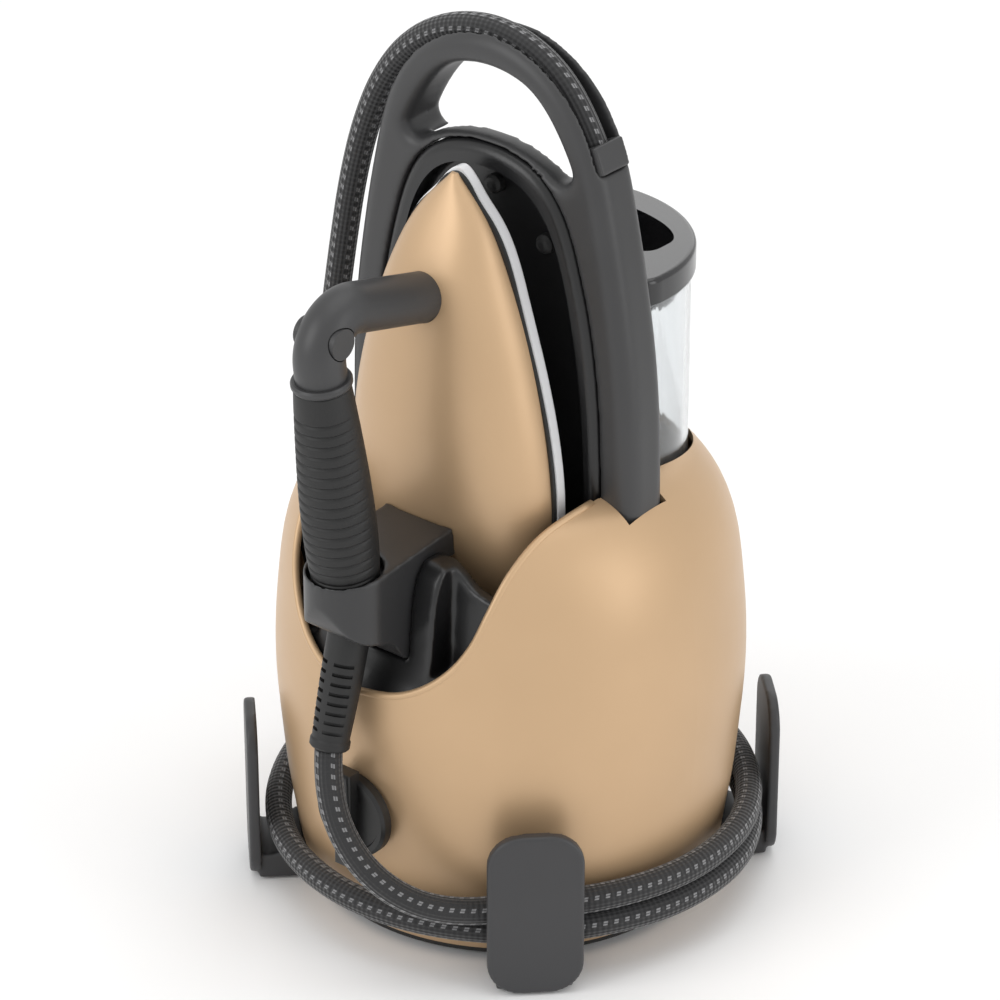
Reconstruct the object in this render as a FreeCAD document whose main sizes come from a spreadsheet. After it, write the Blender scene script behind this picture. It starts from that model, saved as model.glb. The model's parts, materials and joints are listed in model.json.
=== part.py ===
"""Lift-type steam generator iron, as a parametric document.

A gold bucket-shaped base holds the boiler and pump.  A grey carrying arch stands on it, with a
black rest panel for the iron in front, a clear water tank behind, and a groove over the top for
the steam hose.  Four hooks at the base's corners carry the wound hose and are its feet.

Frame: origin on the standing surface under the middle of the object's box, +Z up, the iron on
the -Y side, the tank on the +Y side.  All pieces are drawn about the base's vertical axis and are
moved by axis_y at the end, because the iron stands out further in front than the tank behind.
"""
import FreeCAD
import Part
import Sketcher
import math
import os
import re

V = FreeCAD.Vector
X, Y, Z = V(1, 0, 0), V(0, 1, 0), V(0, 0, 1)

DRIVING = [
    ("axis_y", 15.2, "base axis behind the origin"),
    ("wall", 3.0, "housing wall"),
    ("gap", 0.4, "running gap between moving pieces"),
    ("foot_h", 1.2, "rubber foot height"),
    ("hook_r", 127.8, "outer face of a hook plate from the axis"),
    ("hook_w", 45.0, "width of a hook plate"),
    ("hook_h", 86.0, "height of a hook plate"),
    ("hook_t", 5.4, "thickness of a hook plate"),
    ("arch_front", -19.0, "front face of the arch"),
    ("arch_back", 8.0, "back face of the arch"),
    ("groove_w", 19.0, "width of the hose groove"),
    ("groove_d", 11.5, "depth of the hose groove"),
    ("hose_d", 13.0, "steam hose diameter"),
    ("low_z", 27.5, "height of the lower hose turn"),
    ("high_z", 40.8, "height of the upper hose turn"),
    ("tank_half", 67.0, "half width of the water tank"),
    ("tank_front", 11.5, "front wall of the water tank"),
    ("tank_back", 90.5, "back of the water tank"),
    ("tank_floor", 116.0, "underside of the water tank"),
    ("lid_low", 308.0, "lower edge of the tank lid's band"),
    ("lid_top", 320.5, "top of the tank lid"),
    ("boiler_r", 50.0, "boiler radius"),
    ("boiler_y", -30.0, "boiler axis from the base axis"),
    ("boiler_low", 24.0, "underside of the boiler"),
    ("boiler_top", 98.0, "top of the boiler"),
    ("cap_z", 75.0, "height of the drain cap's axis"),
    ("cap_r", 21.0, "drain cap radius"),
    ("cap_y", -111.4, "back face of the drain cap"),
    ("sole_back", -31.0, "ironing face of the soleplate"),
    ("sole_t", 6.0, "soleplate thickness"),
    ("sole_top", 375.5, "nose of the soleplate"),
    ("neck_r", 11.75, "radius of the iron's neck"),
    ("neck_y", -58.0, "start of the neck inside the iron"),
    ("neck_z", 319.6, "height of the neck's start"),
    ("neck_rise", 14.06, "slope of the neck in degrees"),
    ("bend_r", 18.0, "radius of the neck's bend"),
    ("grip_y", -129.5, "top of the grip"),
    ("grip_z", 302.6, "top of the grip"),
    ("grip_lean", 7.4, "lean of the grip in degrees"),
    ("grip_len", 104.0, "length of the rubber sleeve"),
    ("relief_len", 58.0, "length of the strain relief outside the bracket"),
    ("relief_lean", 15.8, "lean of the strain relief in degrees"),
]

doc = FreeCAD.newDocument("steam_generator_iron")
dims = doc.addObject("Spreadsheet::Sheet", "dims")
for row, (alias, value, meaning) in enumerate(DRIVING, 1):
    dims.set("A%d" % row, meaning)
    dims.set("B%d" % row, str(value))
    dims.setAlias("B%d" % row, alias)
doc.recompute()
ALIASES = {alias for alias, value, meaning in DRIVING}
SPOTS = {}
NODES = {}


def bound(text):
    """The expression with every alias written as a cell of the sheet."""
    return re.sub(r"[a-z]\w*", lambda m: "dims." + m.group(0) if m.group(0) in ALIASES else m.group(0), str(text))


def size(text):
    """The value of an expression of the sheet's aliases."""
    return float(dims.evalExpression(bound(text)))


def place(obj, x=0, y=0, z=0, turn=None):
    rotation = FreeCAD.Rotation(*turn) if turn else FreeCAD.Rotation()
    obj.Placement = FreeCAD.Placement(V(size(x), size(y), size(z)), rotation)
    for letter, text in zip("xyz", (x, y, z)):
        obj.setExpression("Placement.Base." + letter, bound(text))
    SPOTS[obj.Name] = (x, y, z)
    return obj


def box(name, lx, ly, lz, x=0, y=0, z=0, turn=None):
    obj = doc.addObject("Part::Box", name)
    for prop, text in (("Length", lx), ("Width", ly), ("Height", lz)):
        obj.setExpression(prop, bound(text))
    return place(obj, x, y, z, turn)


def cylinder(name, r, h, x=0, y=0, z=0, turn=None):
    obj = doc.addObject("Part::Cylinder", name)
    obj.setExpression("Radius", bound(r))
    obj.setExpression("Height", bound(h))
    return place(obj, x, y, z, turn)


def torus(name, r1, r2, x=0, y=0, z=0, turn=None):
    obj = doc.addObject("Part::Torus", name)
    obj.setExpression("Radius1", bound(r1))
    obj.setExpression("Radius2", bound(r2))
    return place(obj, x, y, z, turn)


def fuse(name, *shapes):
    obj = doc.addObject("Part::MultiFuse", name)
    obj.Shapes = list(shapes)
    return obj


def cut(name, base, *tools):
    obj = doc.addObject("Part::Cut", name)
    obj.Base = base
    obj.Tool = tools[0] if len(tools) == 1 else fuse(name + "_tools", *tools)
    return obj


def group(name, *shapes):
    obj = doc.addObject("Part::Compound", name)
    obj.Links = list(shapes)
    return obj


def solid(name, shape):
    obj = doc.addObject("Part::Feature", name)
    obj.Shape = shape
    SPOTS[obj.Name] = tuple(shape.Placement.Base)
    return obj


def body_with_outline(name, role, corners):
    """A body and its sketch: a closed outline whose corners are bound to the sheet."""
    body = doc.addObject("PartDesign::Body", name)
    sketch = body.newObject("Sketcher::SketchObject", name + "_outline")
    plane = next(item for item in body.Origin.OriginFeatures if item.Role == role)
    sketch.AttachmentSupport = [(plane, "")]
    sketch.MapMode = "FlatFace"
    spots = [V(size(a), size(b), 0) for a, b in corners]
    count = len(spots)
    for i in range(count):
        sketch.addGeometry(Part.LineSegment(spots[i], spots[(i + 1) % count]))
    for i in range(count):
        sketch.addConstraint(Sketcher.Constraint("Coincident", i, 2, (i + 1) % count, 1))
    for i, texts in enumerate(corners):
        for kind, axis, text, value in (("DistanceX", -2, texts[0], spots[i].x), ("DistanceY", -1, texts[1], spots[i].y)):
            if abs(value) < 1e-9:
                sketch.addConstraint(Sketcher.Constraint("PointOnObject", i, 1, axis))
            else:
                index = sketch.addConstraint(Sketcher.Constraint(kind, -1, 1, i, 1, value))
                sketch.setExpression("Constraints[%d]" % index, bound(text))
    return body, sketch


def turned(name, corners, x=0, y=0, z=0, turn=None):
    """A turned piece: its half outline (radius, height) revolved about the body's Z axis."""
    body, sketch = body_with_outline(name, "XZ_Plane", corners)
    revolution = body.newObject("PartDesign::Revolution", name + "_revolution")
    revolution.Profile = sketch
    revolution.ReferenceAxis = (sketch, ["V_Axis"])
    revolution.Angle = 360
    return place(body, x, y, z, turn)


def rounded(name, base, radius, pick):
    """Round the edges of a piece for which pick(edge) is true."""
    doc.recompute()
    obj = doc.addObject("Part::Fillet", name)
    obj.Base = base
    obj.Edges = [(i, radius, radius) for i, edge in enumerate(base.Shape.Edges, 1) if pick(edge)]
    return obj


def spline_wire(points, *closing):
    """A closed wire: an interpolated curve through points, then straight lines to the others."""
    curve = Part.BSplineCurve()
    curve.interpolate(points)
    edges = [curve.toShape()]
    corners = [points[-1]] + list(closing) + [points[0]]
    edges += [Part.LineSegment(a, b).toShape() for a, b in zip(corners, corners[1:]) if (a - b).Length > 1e-6]
    return Part.Wire(edges)


def along_y(wire, y1, y2):
    """A prism between two Y values from a wire drawn in the XZ plane."""
    wire = wire.copy()
    wire.translate(V(0, y1, 0))
    return Part.Face(wire).extrude(V(0, y2 - y1, 0))


def mirror_pairs(half):
    """The points of a half outline (x, z), from the middle outwards, as a whole one, left to right."""
    right = [V(a, 0, b) for a, b in half]
    return [V(-p.x, 0, p.z) for p in reversed(right) if p.x > 0] + right


def frame_at(origin, up, outward):
    """A placement with its Y axis along up and its Z axis along outward."""
    side = up.cross(outward)
    return FreeCAD.Placement(origin, FreeCAD.Rotation(side, up, outward, "ZYX"))


def pipe(path, radius):
    """A round bar of a radius swept along a wire."""
    start = path.Edges[0]
    tangent = start.tangentAt(start.FirstParameter)
    ring = Part.Wire(Part.makeCircle(radius, start.valueAt(start.FirstParameter), tangent))
    return path.makePipeShell([ring], True, True)


def bent_tube(spots, radius):
    """A round tube along straight runs joined by tangent arcs, its length and its smallest bend."""
    points = [V(*spot) for spot in spots]
    edges, here, tightest = [], points[0], 1e9
    for before, corner_spot, after in zip(points, points[1:], points[2:]):
        into, away = corner_spot - before, after - corner_spot
        turn = into.getAngle(away)
        reach = 0.45 * min(into.Length, away.Length)
        start = corner_spot - into.normalize() * reach
        end = corner_spot + away.normalize() * reach
        bend = reach / math.tan(turn / 2)
        tightest = min(tightest, bend)
        toward = (away - into).normalize()
        middle = corner_spot + toward * (bend / math.cos(turn / 2) - bend)
        edges += [Part.LineSegment(here, start).toShape(), Part.Arc(start, middle, end).toShape()]
        here = end
    edges.append(Part.LineSegment(here, points[-1]).toShape())
    path = Part.Wire(edges)
    return pipe(path, radius), path.Length, tightest


def keep(label, obj):
    """Make an object a node of the assembly, moved from the base's axis to the part's frame."""
    obj.Label = label
    y = SPOTS.get(obj.Name, (0, 0, 0))[1]
    obj.setExpression("Placement.Base.y", bound("(%s) + axis_y" % y))
    NODES[label] = obj


# ---------------------------------------------------------------- the base
# Half outline of the housing (radius, height), narrow at the foot and drawn in at the shoulders.
HOUSING = [(97, 6), (102, 20), (104.6, 36), (107, 52), (109.6, 78), (111.8, 110), (111.2, 140),
           (109.4, 160), (106.2, 182), (102.2, 195), (97.4, 204.5), (91, 213), (84.5, 219.3), (77, 223.4),
           (70, 225.4)]
# Half outline of the scoop (x, z), seen from the front.
SCOOP = [(0, 139), (20, 142.3), (34, 149), (45.5, 159.5), (53.5, 173), (58, 189), (60.8, 205),
         (64, 218), (69.5, 226.5), (78, 231), (92, 233.5)]
# Half outline of the arch (x, z), from the top down to the foot of a leg.
ARCH = [(0, 433), (15.5, 430.9), (31, 424.4), (44.5, 414.2), (54.5, 401.5), (62.8, 384), (68.8, 362),
        (73.6, 340), (77.6, 318), (80.9, 297), (83.6, 272), (85, 245), (85.4, 208)]
# Half outline of the hand hole, and of the crossbar's top that closes it from below.
HAND_HOLE = [(0, 416.5), (12, 415.2), (22, 411.8), (31.5, 404.4), (39.5, 394), (46, 382.5), (53.4, 362)]
CROSSBAR = [(0, 383.0), (14, 381.7), (28, 377.8), (42, 370.5), (60, 358)]
# Half outline of the rest panel, whose edge is a seam with the arch.
PANEL_EDGE = [(0, 380.4), (14, 379), (28, 374.2), (39.5, 365), (47.5, 352), (53.5, 335), (59.5, 312), (64.2, 284),
              (66.6, 256), (67.4, 230), (67.6, 208)]
LEG_FOOT = 208.0


def revolved(points):
    profile = [V(r, 0, z) for r, z in points]
    wire = spline_wire(profile, V(0, 0, profile[-1].z), V(0, 0, profile[0].z))
    return Part.Face(wire).revolve(V(0, 0, 0), Z, 360)


def inset(points, amount):
    """Points moved towards the inside of a half outline that runs counter-clockwise."""
    moved = []
    for i, (a, b) in enumerate(points):
        before, after = points[max(i - 1, 0)], points[min(i + 1, len(points) - 1)]
        da, db = after[0] - before[0], after[1] - before[1]
        length = math.hypot(da, db)
        moved.append((a - amount * db / length, b + amount * da / length))
    return moved


def shrunk(points, amount):
    """Points of an outline that runs outwards from the middle, moved towards its inside."""
    return [(max(a, 0) if i == 0 else a, b) for i, (a, b) in enumerate(inset(points, -amount))]


def housing_solid(amount):
    points = inset(HOUSING, amount)
    if amount:
        points = [(points[0][0], 1.0)] + points[1:]
    return revolved(points)


def scoop_solid(shrink, y1, y2):
    points = inset(SCOOP, shrink)
    points[0] = (0, SCOOP[0][1] + shrink)
    whole = mirror_pairs(points)
    return along_y(spline_wire(whole, V(whole[-1].x, 0, 260), V(whole[0].x, 0, 260)), y1, y2)


def outline_solid(half, low, y1, y2):
    """A prism along Y from a half outline closed by a level line below."""
    whole = mirror_pairs(half)
    return along_y(spline_wire(whole, V(whole[-1].x, 0, low), V(whole[0].x, 0, low)), y1, y2)


def d_shape(half, front, back, corner, z1, z2, grow=0.0):
    """A prism along Z: straight in front, half an ellipse behind."""
    half, front, back = half + grow, front - grow, back + grow
    waist = front + 16 + grow
    ellipse = Part.Ellipse(V(0, waist, z1), half, back - waist)
    if back - waist > half:
        raise ValueError("the tank is deeper than it is wide")
    curve = Part.ArcOfEllipse(ellipse, 0, math.pi).toShape()
    right, left = V(half, waist, z1), V(-half, waist, z1)
    edges = [curve, Part.LineSegment(left, V(-half, front, z1)).toShape(),
             Part.LineSegment(V(-half, front, z1), V(half, front, z1)).toShape(),
             Part.LineSegment(V(half, front, z1), right).toShape()]
    block = Part.Face(Part.Wire(edges)).extrude(V(0, 0, z2 - z1))
    upright = [e for e in block.Edges if abs(abs(e.tangentAt(e.FirstParameter).z) - 1) < 1e-6
               and abs(e.Vertexes[0].Y - front) < 1e-6]
    return block.makeFillet(corner + grow, upright)


ARCH_FRONT, ARCH_BACK = size("arch_front"), size("arch_back")
arch_block = outline_solid(ARCH, LEG_FOOT, ARCH_FRONT, ARCH_BACK)

# Housing: a thin bucket, open below, with the scoop, the arch's seats, the tank's well, the drain
# hole, the switch hole and the inlet hole cut through it.
well = d_shape(size("tank_half"), size("tank_front"), size("tank_back"), 12, 100, 260, 2.5)
between_legs = Part.makeBox(2 * 68.6, 40, 120, V(-68.6, ARCH_FRONT - 1.2, 150))
housing = housing_solid(0).cut(housing_solid(size("wall")))
housing = housing.cut(scoop_solid(0, -140, ARCH_FRONT - 1.0))
housing = housing.cut(arch_block.fuse(between_legs)).cut(well)
housing = housing.cut(Part.makeCylinder(11.0, 30, V(0, -125, size("cap_z")), Y))
SWITCH_WAY = V(math.cos(math.radians(75)), math.sin(math.radians(75)), 0)
INLET_WAY = V(math.cos(math.radians(103)), math.sin(math.radians(103)), 0)
REAR_Z = 70.0
for way, radius in ((SWITCH_WAY, 9.2), (INLET_WAY, 8.0)):
    housing = housing.cut(Part.makeCylinder(radius, 40, way * 90 + Z * REAR_Z, way))
keep("housing_shell", solid("housing", housing))

# Tray that closes the housing from below, with a rim that stands inside it.
tray = turned("tray", [("0", "3.2"), ("96", "3.2"), ("96", "5.8"), ("92.6", "5.8"), ("92.6", "14"),
                       ("90.4", "14"), ("90.4", "6.4"), ("0", "6.4")])
vents = [cylinder("vent_%d" % i, 2.4, 10, 30 * math.cos(i * math.pi / 4), 30 * math.sin(i * math.pi / 4), 0)
         for i in range(8)]
keep("base_tray", cut("vented_tray", tray, *vents))

# Four corner hooks: an arm out from under the housing and an upright plate with round corners.
HOOKS = {"hook_front_right": -45, "hook_front_left": -135, "hook_back_right": 45, "hook_back_left": 135}


def hook_shape(angle):
    radius, width, height = size("hook_r"), size("hook_w"), size("hook_h")
    thick, foot = size("hook_t"), size("foot_h")
    plate = Part.makeBox(thick, width, height - foot, V(radius - thick, -width / 2, foot))
    plate = plate.makeFillet(16, [e for e in plate.Edges if abs(e.tangentAt(0).x) > 0.9])
    plate = plate.makeFillet(1.2, [e for e in plate.Edges if e.CenterOfMass.x > radius - 0.01])
    inner = radius - thick + 1.0
    rise = Part.BSplineCurve()
    rise.interpolate([V(inner, 0, 24), V(inner - 3.0, 0, 14.5), V(inner - 9.5, 0, 15.2), V(98.2, 0, 20.6)])
    outline = [rise.toShape(), Part.LineSegment(V(98.2, 0, 20.6), V(98.2, 0, 3.0)).toShape(),
               Part.LineSegment(V(98.2, 0, 3.0), V(80, 0, 3.0)).toShape(),
               Part.LineSegment(V(80, 0, 3.0), V(80, 0, foot)).toShape(),
               Part.LineSegment(V(80, 0, foot), V(inner, 0, foot)).toShape(),
               Part.LineSegment(V(inner, 0, foot), V(inner, 0, 24)).toShape()]
    arm = Part.Face(Part.Wire(outline)).extrude(V(0, 36, 0))
    arm.translate(V(0, -18, 0))
    hook = plate.fuse(arm).removeSplitter()
    hook = hook.cut(housing_solid(-0.15))
    hook = max(hook.Solids, key=lambda s: s.Volume)
    hook.rotate(V(0, 0, 0), Z, angle)
    return hook


for label, angle in HOOKS.items():
    keep(label, solid(label + "_shape", hook_shape(angle)))
feet = [turned("foot_%d" % i, [("0", "0"), ("7", "0"), ("8", "foot_h - 0.02"), ("0", "foot_h - 0.02")],
               108 * math.cos(math.radians(a)), 108 * math.sin(math.radians(a)), 0)
        for i, a in enumerate(HOOKS.values())]
keep("rubber_feet", group("feet", *feet))
screws = []
for i in range(8):
    turn = math.radians(22.5 + 45 * i)
    screws.append(turned("tray_screw_%d" % i, [("0", "2.0"), ("3", "2.0"), ("3", "3.2"), ("0", "3.2")],
                         86 * math.cos(turn), 86 * math.sin(turn), 0))
keep("tray_screws", group("tray_screw_set", *screws))

# ---------------------------------------------------------------- the arch and the rest panel
hole = outline_solid(HAND_HOLE, 300, ARCH_FRONT - 5, ARCH_BACK + 5)
below_bar = outline_solid(CROSSBAR, 290, ARCH_FRONT - 6, ARCH_BACK + 6)
hand_hole = hole.cut(below_bar)
hand_hole = hand_hole.makeFillet(6, [e for e in hand_hole.Edges
                                     if abs(abs(e.tangentAt(e.FirstParameter).y) - 1) < 1e-6
                                     and e.CenterOfMass.z < 400])
LOWER = [(0, 369), (14, 366.4), (30, 357), (42, 342), (50, 322), (56.5, 300), (60, 270), (61.2, 245), (61.4, 208)]
lower_opening = outline_solid(LOWER, LEG_FOOT - 1, ARCH_FRONT - 5, ARCH_BACK + 5)
panel_seat = outline_solid(PANEL_EDGE, LEG_FOOT - 1, ARCH_FRONT - 5, -6.8)
# The crossbar is thin: nothing of it stands behind the panel.
behind_bar = outline_solid(CROSSBAR, 340, -6.8, ARCH_BACK + 5).common(hole)
arch = arch_block.cut(hand_hole)


def long_edges(shape, y, low, high):
    """The edges of a face across Y whose length is between two values, the foot's left out."""
    return [e for e in shape.Edges if abs(e.CenterOfMass.y - y) < 0.01 and low < e.Length < high
            and e.CenterOfMass.z > LEG_FOOT + 5]


arch = arch.makeFillet(8.8, long_edges(arch, ARCH_FRONT, 300, 900))
arch = arch.makeFillet(6.0, long_edges(arch, ARCH_FRONT, 60, 300))
arch = arch.makeFillet(7.0, long_edges(arch, ARCH_BACK, 300, 900))
arch = arch.makeFillet(4.0, long_edges(arch, ARCH_BACK, 60, 300))
arch = arch.cut(lower_opening).cut(panel_seat).cut(behind_bar)
# The hose groove runs from the collar on the right over the top and fades out on the left.
GROOVE_FRONT = -5.5 - size("groove_w") / 2 + 0.5
GROOVE_BACK = GROOVE_FRONT + size("groove_w")
groove_floor = outline_solid(shrunk(ARCH, size("groove_d")), 340, ARCH_FRONT - 5, ARCH_BACK + 5)
groove = outline_solid(inset(ARCH, 6), 340, GROOVE_FRONT, GROOVE_BACK).cut(groove_floor)
COLLAR_HALF = 6.7
collar_place = FreeCAD.Placement(V(61.2, 0, 387.0), FreeCAD.Rotation(Y, -24.7))


def across_leg(low, high, half):
    """A block square to the right leg at the collar, between two heights along the leg."""
    block = Part.makeBox(2 * half, 60, high - low, V(-half, -40, low))
    block.Placement = collar_place.multiply(block.Placement)
    return block


groove = groove.common(Part.makeBox(200, 60, 90, V(-58, -40, 371.5)))
groove = groove.common(across_leg(-COLLAR_HALF - 0.1, 200, 130))
arch = arch.cut(groove)
# The hose comes out of the collar, over the arch and down behind its left side; the steam tube
# reaches it through the right leg.
OVER_ARCH = [(54.6, -5.5, 383.5), (45.5, -5.5, 402.5), (26.5, -5.5, 422), (0, -5.5, 430.7), (-27, -5.5, 427),
             (-51, -5.7, 414), (-69, -6, 393), (-81, -7, 366), (-89, -8.2, 335), (-94.5, -9.5, 301),
             (-100, -10.5, 264), (-106.5, -10.5, 225), (-114, -7.5, 187), (-119.5, -1, 152)]
STEAM_RISE = [(33, -24, 123.9), (33.1, -23.3, 130.5), (35.5, -16.5, 137.5), (42, -4, 142), (48, -2.2, 158), (50, -2, 200),
              (51, -2, 250), (52, -2.2, 300), (55, -3.5, 340), (57, -5, 361), (55.8, -5.5, 381)]
hose_room = size("hose_d") / 2 + 0.4
arch = arch.cut(bent_tube(OVER_ARCH[:6], hose_room)[0]).cut(bent_tube(STEAM_RISE[4:], 3.9)[0])
arch = max(arch.Solids, key=lambda s: s.Volume)
keep("carry_arch", solid("arch", arch))

# Collar that clamps the hose at the right-hand end of the groove.
collar_band = outline_solid(inset(ARCH, 0.8), 340, GROOVE_FRONT + 0.1, GROOVE_BACK - 0.1)
collar_band = collar_band.cut(outline_solid(shrunk(ARCH, size("groove_d") - 0.1), 340, -40, 40))
collar = collar_band.common(across_leg(-COLLAR_HALF, COLLAR_HALF, 20))
collar = max(collar.Solids, key=lambda s: s.Volume)

# Rest panel: a plate inside the arch with a raised lip round a recess.
PANEL_LOW = 150.0
rim_outer = [(max(a - 0.3, 0), b - 0.3) for a, b in PANEL_EDGE] + [(67.3, 180)]
lip_block = outline_solid(rim_outer, PANEL_LOW, ARCH_FRONT - 1.0, -7.0)
lip_front = [e for e in lip_block.Edges if abs(e.CenterOfMass.y - ARCH_FRONT + 1.0) < 0.01 and e.Length > 150
             and e.CenterOfMass.z > PANEL_LOW + 5]
lip_block = lip_block.makeFillet(5.0, lip_front)
RECESS = [(0, 370), (15, 368.2), (28, 361.5), (38.5, 348.5), (45.5, 331), (51.5, 306), (56.5, 274), (58.8, 245), (59.2, 180)]
recess = outline_solid(RECESS, PANEL_LOW - 5, ARCH_FRONT - 10, -9.8)
recess_floor = [e for e in recess.Edges if abs(e.CenterOfMass.y + 9.8) < 0.01 and e.Length > 150
                and e.CenterOfMass.z > PANEL_LOW]
recess = recess.makeFillet(3.0, recess_floor)
panel = lip_block.cut(recess)
panel = panel.cut(housing_solid(size("wall") + 0.3).cut(Part.makeBox(2 * 68, 60, 260, V(-68, -30, 0))))
keep("rest_panel", solid("panel", panel))

# Rest pads: small stops near the nose, and two long ones that carry the soleplate.
REST = size("sole_back") + size("gap")
pads = []
for i, (px, pz, tip) in enumerate([(30, 338, -15.5), (-30, 338, -15.5), (0, 359, -15.5), (24, 258, REST),
                                   (-24, 258, REST)]):
    pads.append(turned("pad_%d" % i, [("0", "0"), ("4.6", "0"), ("4.6", str(-9.9 - tip - 2.2)),
                                      ("3.4", str(-9.9 - tip - 0.6)), ("1.6", str(-9.9 - tip)), ("0", str(-9.9 - tip))],
                       px, -9.9, pz, (X, 90)))
keep("rest_pads", group("pad_set", *pads))

# Cover that closes the arch from behind.
back_cover = outline_solid(LOWER, LEG_FOOT, 4.4, 7.4)
back_cover = back_cover.common(outline_solid([(a - 0.3 if i else a, b - 0.3) for i, (a, b) in enumerate(LOWER)],
                                             LEG_FOOT, 4.4, 7.4))
keep("arch_back_cover", solid("back_cover", back_cover))

# Saddle: the black insert of the scoop.  A tray under the iron's heel, and across its front a
# hump that the heel bracket sits on.
FLOOR_Z, SADDLE_LOW = 147.0, 133.0
SADDLE_BACK = ARCH_FRONT - 1.6
HUMP_HALF, HUMP_BACK = 34.0, -75.2
# Half outline of the hump's top, seen from the front, down to the scoop's rim.
CROWN = [(0, 204.5), (20, 205), (30, 204.5), (38, 200), (44, 195.5), (52, 193), (66, 192)]


def across_x(points, half, *closing):
    """A prism between -half and half along X from points (y, z): a curve, then straight lines."""
    outline = [V(-half, y, z) for y, z in points]
    return Part.Face(spline_wire(outline, *[V(-half, y, z) for y, z in closing])).extrude(V(2 * half, 0, 0))


tray_block = across_x([(-118, 133), (-108, 138.5), (-102, 145), (-98.5, 152)], 125, (-80, 152), (-76, FLOOR_Z),
                      (SADDLE_BACK, FLOOR_Z), (SADDLE_BACK, 137))
hump = across_x([(-106, 140), (-100.5, 149), (-98, 160), (-96.6, 174), (-94.8, 188), (-91, 199), (-84.5, 205.5)],
                HUMP_HALF, (HUMP_BACK, 205.5), (HUMP_BACK, 140))
back_wall = across_x([(-86, 145), (-84, 165), (-82.5, 185), (-81, 205.5)], 66, (HUMP_BACK, 205.5), (HUMP_BACK, 145))
hump = hump.fuse(back_wall).common(outline_solid(CROWN, 130, -120, -60))
saddle = tray_block.fuse(hump).removeSplitter()
saddle = saddle.common(scoop_solid(-3.0, -130, SADDLE_BACK)).common(housing_solid(size("wall") + 0.3))


# ---------------------------------------------------------------- the iron
SOLE = [(0, 375.5), (5.5, 372.3), (12, 364.5), (20.5, 355.5), (37, 320), (47.6, 286), (56.5, 246), (58.6, 222),
        (57, 195), (51, 172), (41, 159)]
SOLE_HEEL = 152.5


def sole_wire(shrink=0.0):
    tip = (0, SOLE[0][1] - 2.2 * shrink)
    points = [tip] + [p for p in shrunk(SOLE, shrink)[1:] if p[0] > 1.2 * shrink]
    whole = mirror_pairs(points)
    curve = Part.BSplineCurve()
    curve.interpolate(whole)
    low = SOLE_HEEL + shrink
    heel = Part.Arc(whole[-1], V(0, 0, low), whole[0])
    return Part.Wire([curve.toShape(), heel.toShape()])


SOLE_BACK = size("sole_back")
SOLE_FRONT = SOLE_BACK - size("sole_t")
sole = along_y(sole_wire(), SOLE_BACK, SOLE_FRONT)
sole = sole.makeFillet(1.6, [e for e in sole.Edges if abs(e.CenterOfMass.y - SOLE_BACK) < 0.01])
steam_holes = []
for ring, count in ((12.0, 9), (22.0, 9)):
    edge = [V(a, 0, b) for a, b in shrunk(SOLE, ring)][4:-2]
    guide = Part.BSplineCurve()
    guide.interpolate(edge)
    for i in range(count):
        spot = guide.value(guide.FirstParameter + (guide.LastParameter - guide.FirstParameter) * i / (count - 1.0))
        for side in (-1, 1):
            steam_holes.append(Part.makeCylinder(1.3, 20, V(side * spot.x, SOLE_FRONT - 5, spot.z), Y))
sole = sole.cut(Part.makeCompound(steam_holes))
keep("soleplate", solid("sole", sole))
CHAMBER = SOLE_FRONT - 13.0
gasket = along_y(sole_wire(0.9), SOLE_FRONT, SOLE_FRONT - 2.0).cut(along_y(sole_wire(6.5), 0, -80))
keep("skirt_gasket", solid("gasket", gasket))

# Shell: sections across the iron, each (height, half width, rise above the gasket).
SHELL = [(373.6, 1.6, 2.0), (366, 8.8, 6.4), (356, 17.6, 11.4), (342, 26.0, 18.2), (322, 34.6, 24.6), (298, 42.8, 28.6),
         (268, 50.4, 31.2), (236, 55.4, 30.0), (206, 55.8, 26.6), (180, 51.0, 23.6), (160, 40.5, 20.0), (153.5, 30, 17)]
SHELL_BACK = SOLE_FRONT - 2.0


def shell_section(z, half, rise, back):
    points = []
    for i in range(9):
        turn = math.pi * i / 8
        points.append(V(half * math.copysign(abs(math.cos(turn)) ** 0.86, math.cos(turn)),
                        back - rise * math.sin(turn) ** 0.92, z))
    return spline_wire(points)


def shell_solid(shrink):
    kept = [s for s in SHELL if s[1] > 2 * shrink and s[2] > 2 * shrink] if shrink else SHELL
    back = SHELL_BACK + (0.5 if shrink else 0)
    wires = [shell_section(z, half - shrink, rise - shrink, back) for z, half, rise in kept]
    return Part.makeLoft(wires, True, False)


outer_shell = shell_solid(0)
shell = outer_shell.cut(shell_solid(2.4))
# The steam chamber stays clear of the shell.
inside = shell_solid(3.4).fuse(along_y(sole_wire(8.0), SOLE_FRONT, SHELL_BACK - 0.5))
inside = inside.fuse(along_y(sole_wire(14.0), SOLE_FRONT, SHELL_BACK - 3.0))
chamber = along_y(sole_wire(8.0), SOLE_FRONT, CHAMBER).common(inside)
chamber = chamber.cut(along_y(sole_wire(16.0), CHAMBER + 5.0, CHAMBER - 1.0))
keep("steam_chamber", solid("chamber", max(chamber.Solids, key=lambda s: s.Volume)))
cover = along_y(sole_wire(9.0), CHAMBER, CHAMBER - 1.6).common(inside)
keep("chamber_cover", solid("chamber_lid", max(cover.Solids, key=lambda s: s.Volume)))

# Neck, bend and grip share one centre line in the plane X = 0.
rise = math.radians(size("neck_rise"))
lean = math.radians(size("grip_lean"))
out = V(0, -math.cos(rise), math.sin(rise))
down = V(0, math.sin(lean), -math.cos(lean))
neck_start = V(0, size("neck_y"), size("neck_z"))
grip_top = V(0, size("grip_y"), size("grip_z"))
across = neck_start - grip_top
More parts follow.
